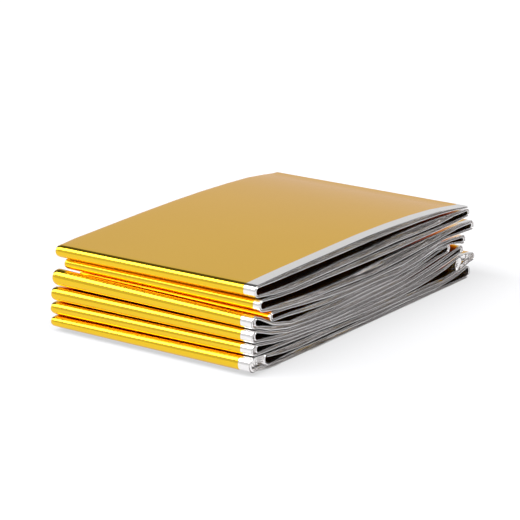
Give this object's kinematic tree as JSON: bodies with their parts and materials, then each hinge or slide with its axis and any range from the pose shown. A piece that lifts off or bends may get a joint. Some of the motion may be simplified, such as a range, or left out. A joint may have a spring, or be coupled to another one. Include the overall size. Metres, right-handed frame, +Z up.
{
  "type": "folded emergency foil blanket",
  "caption": "Metallised-film emergency blanket, gathered into a long band and folded back and forth into a flat pack with loose bends at both ends.",
  "frame": {"origin": "middle of the pack's footprint, on the surface that it rests on", "axes": "+X runs along the pack to the right-hand bends, -Y points out of the end that shows the film's edges, +Z is up through the layers"},
  "size_m": [0.1372, 0.0888, 0.0323],
  "materials": {
    "gold_film": "thin clear polyester film with a gold-tinted aluminium coating, glossy, with a bare silver strip along the edges"
  },
  "bodies": {
    "root": {"foil_sheet": "gold_film"}
  },
  "joints": []
}
